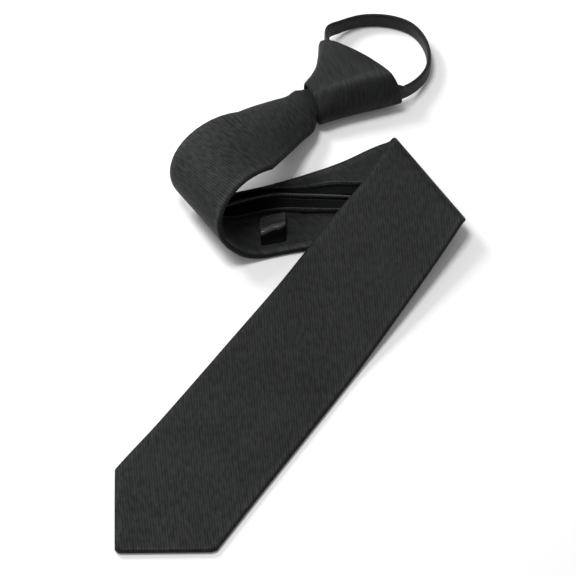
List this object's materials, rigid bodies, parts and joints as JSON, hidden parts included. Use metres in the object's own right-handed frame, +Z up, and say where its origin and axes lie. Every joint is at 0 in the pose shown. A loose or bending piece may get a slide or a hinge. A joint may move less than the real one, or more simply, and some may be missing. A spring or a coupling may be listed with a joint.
{
  "type": "zipper tie",
  "caption": "Ready-knotted black cloth neck tie with a zip tail and a small neck loop, lying rolled and folded on a surface.",
  "frame": {"origin": "on the surface the tie lies on, under the middle of its outline", "axes": "+Z up from the surface, -Y the way the blade's point lies from the knot, as the picture's viewer sees it"},
  "size_m": [0.1768, 0.3248, 0.0386],
  "materials": {
    "tie_cloth": "matt black twill",
    "satin": "black satin",
    "zip": "black coil zip"
  },
  "bodies": {
    "root": {"blade": "tie_cloth", "knot_wrap": "tie_cloth", "neck_band": "tie_cloth", "tail_strip_left": "tie_cloth", "tail_strip_right": "tie_cloth", "zip_chain": "zip", "zip_slider": "zip", "keeper_loop": "satin"}
  },
  "joints": []
}
